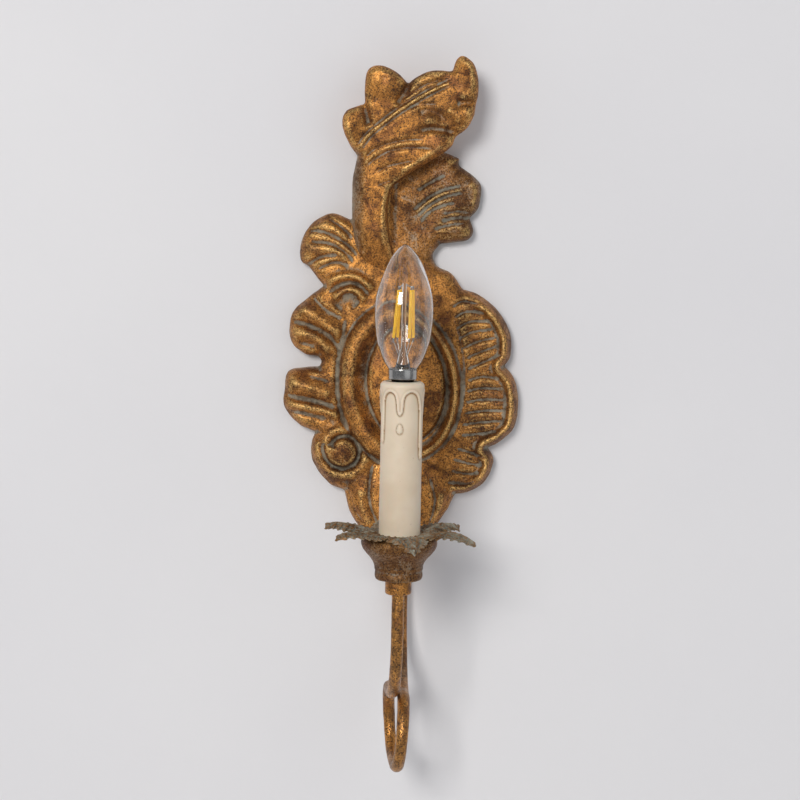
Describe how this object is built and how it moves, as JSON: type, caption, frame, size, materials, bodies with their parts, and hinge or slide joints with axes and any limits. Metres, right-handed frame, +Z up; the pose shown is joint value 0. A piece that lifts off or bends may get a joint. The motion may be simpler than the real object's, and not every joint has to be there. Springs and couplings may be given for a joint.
{
  "type": "wall sconce",
  "caption": "Electric candle wall sconce: carved gilded backplate, looped tube arm, leaf drip pan and cup, and a candle sleeve with a clear candle lamp.",
  "frame": {"origin": "middle of the wall bar, on the wall plane, behind the oval medallion of the backplate", "axes": "+Z up along the wall, -Y out from the wall towards the room, +X to the viewer's right"},
  "size_m": [0.1528, 0.1573, 0.4488],
  "materials": {
    "gilt_wood": "carved wood under worn antique gold with a brown patina",
    "steel": "zinc plated steel",
    "gilt_iron": "iron with an aged gold and grey green coating",
    "lead_brown": "brown wire insulation",
    "lead_blue": "blue wire insulation",
    "lead_green": "green and yellow wire insulation",
    "clear_plastic": "milky terminal strip",
    "brass": "plain brass",
    "holder_black": "black moulded insulator",
    "candle_cream": "cream sleeve with a waxy sheen",
    "clear_glass": "clear glass",
    "filament_yellow": "yellow phosphor strips",
    "nickel": "bright nickel",
    "cap_insulator": "dark glassy insulator"
  },
  "bodies": {
    "wall_bar": {"wall_strap": "steel", "strap_hooks": "steel"},
    "sconce": {"carved_backplate": "gilt_wood", "keyhole_plate_left": "steel", "keyhole_plate_right": "steel", "hanger_screws": "steel", "arm_strap": "steel", "arm_strap_screws": "steel", "scroll_arm": "gilt_iron", "live_lead": "lead_brown", "neutral_lead": "lead_blue", "earth_lead": "lead_green", "earth_lug": "brass", "earth_screw": "brass", "terminal_block": "clear_plastic", "terminal_clamps": "brass", "terminal_screws": "steel", "block_screws": "steel", "ferrule": "gilt_iron", "candle_cup": "gilt_iron", "drip_pan": "gilt_iron", "threaded_nipple": "steel", "pan_washer": "steel", "pan_nut": "steel", "holder_locknut": "steel", "lamp_holder": "holder_black", "socket_shell": "brass", "contact_tongue": "brass"},
    "candle": {"candle_sleeve": "candle_cream"},
    "lamp_lift": {"bulb_contact": "nickel"},
    "lamp": {"bulb_glass": "clear_glass", "bulb_stem": "clear_glass", "bulb_filaments": "filament_yellow", "filament_supports": "nickel", "bulb_cap": "nickel", "bulb_cap_insulator": "cap_insulator"}
  },
  "joints": [
    {"name": "hang_lift", "type": "slide", "parent": "wall_bar", "child": "sconce", "axis": [0, 0, 1], "range_m": [0, 0.009]},
    {"name": "sleeve_lift", "type": "slide", "parent": "sconce", "child": "candle", "axis": [0, 0, 1], "range_m": [0, 0.007]},
    {"name": "lamp_rise", "type": "slide", "parent": "sconce", "child": "lamp_lift", "axis": [0, 0, 1], "range_m": [0, 0.01413]},
    {"name": "lamp_turn", "type": "hinge", "parent": "lamp_lift", "child": "lamp", "pos_m": [0, -0.11, 0.012], "axis": [0, 0, 1], "range_deg": [0, 1800]}
  ],
  "couplings": [
    {"joint": "lamp_rise", "follows": "lamp_turn", "m_per_rad": 0.00044914}
  ]
}
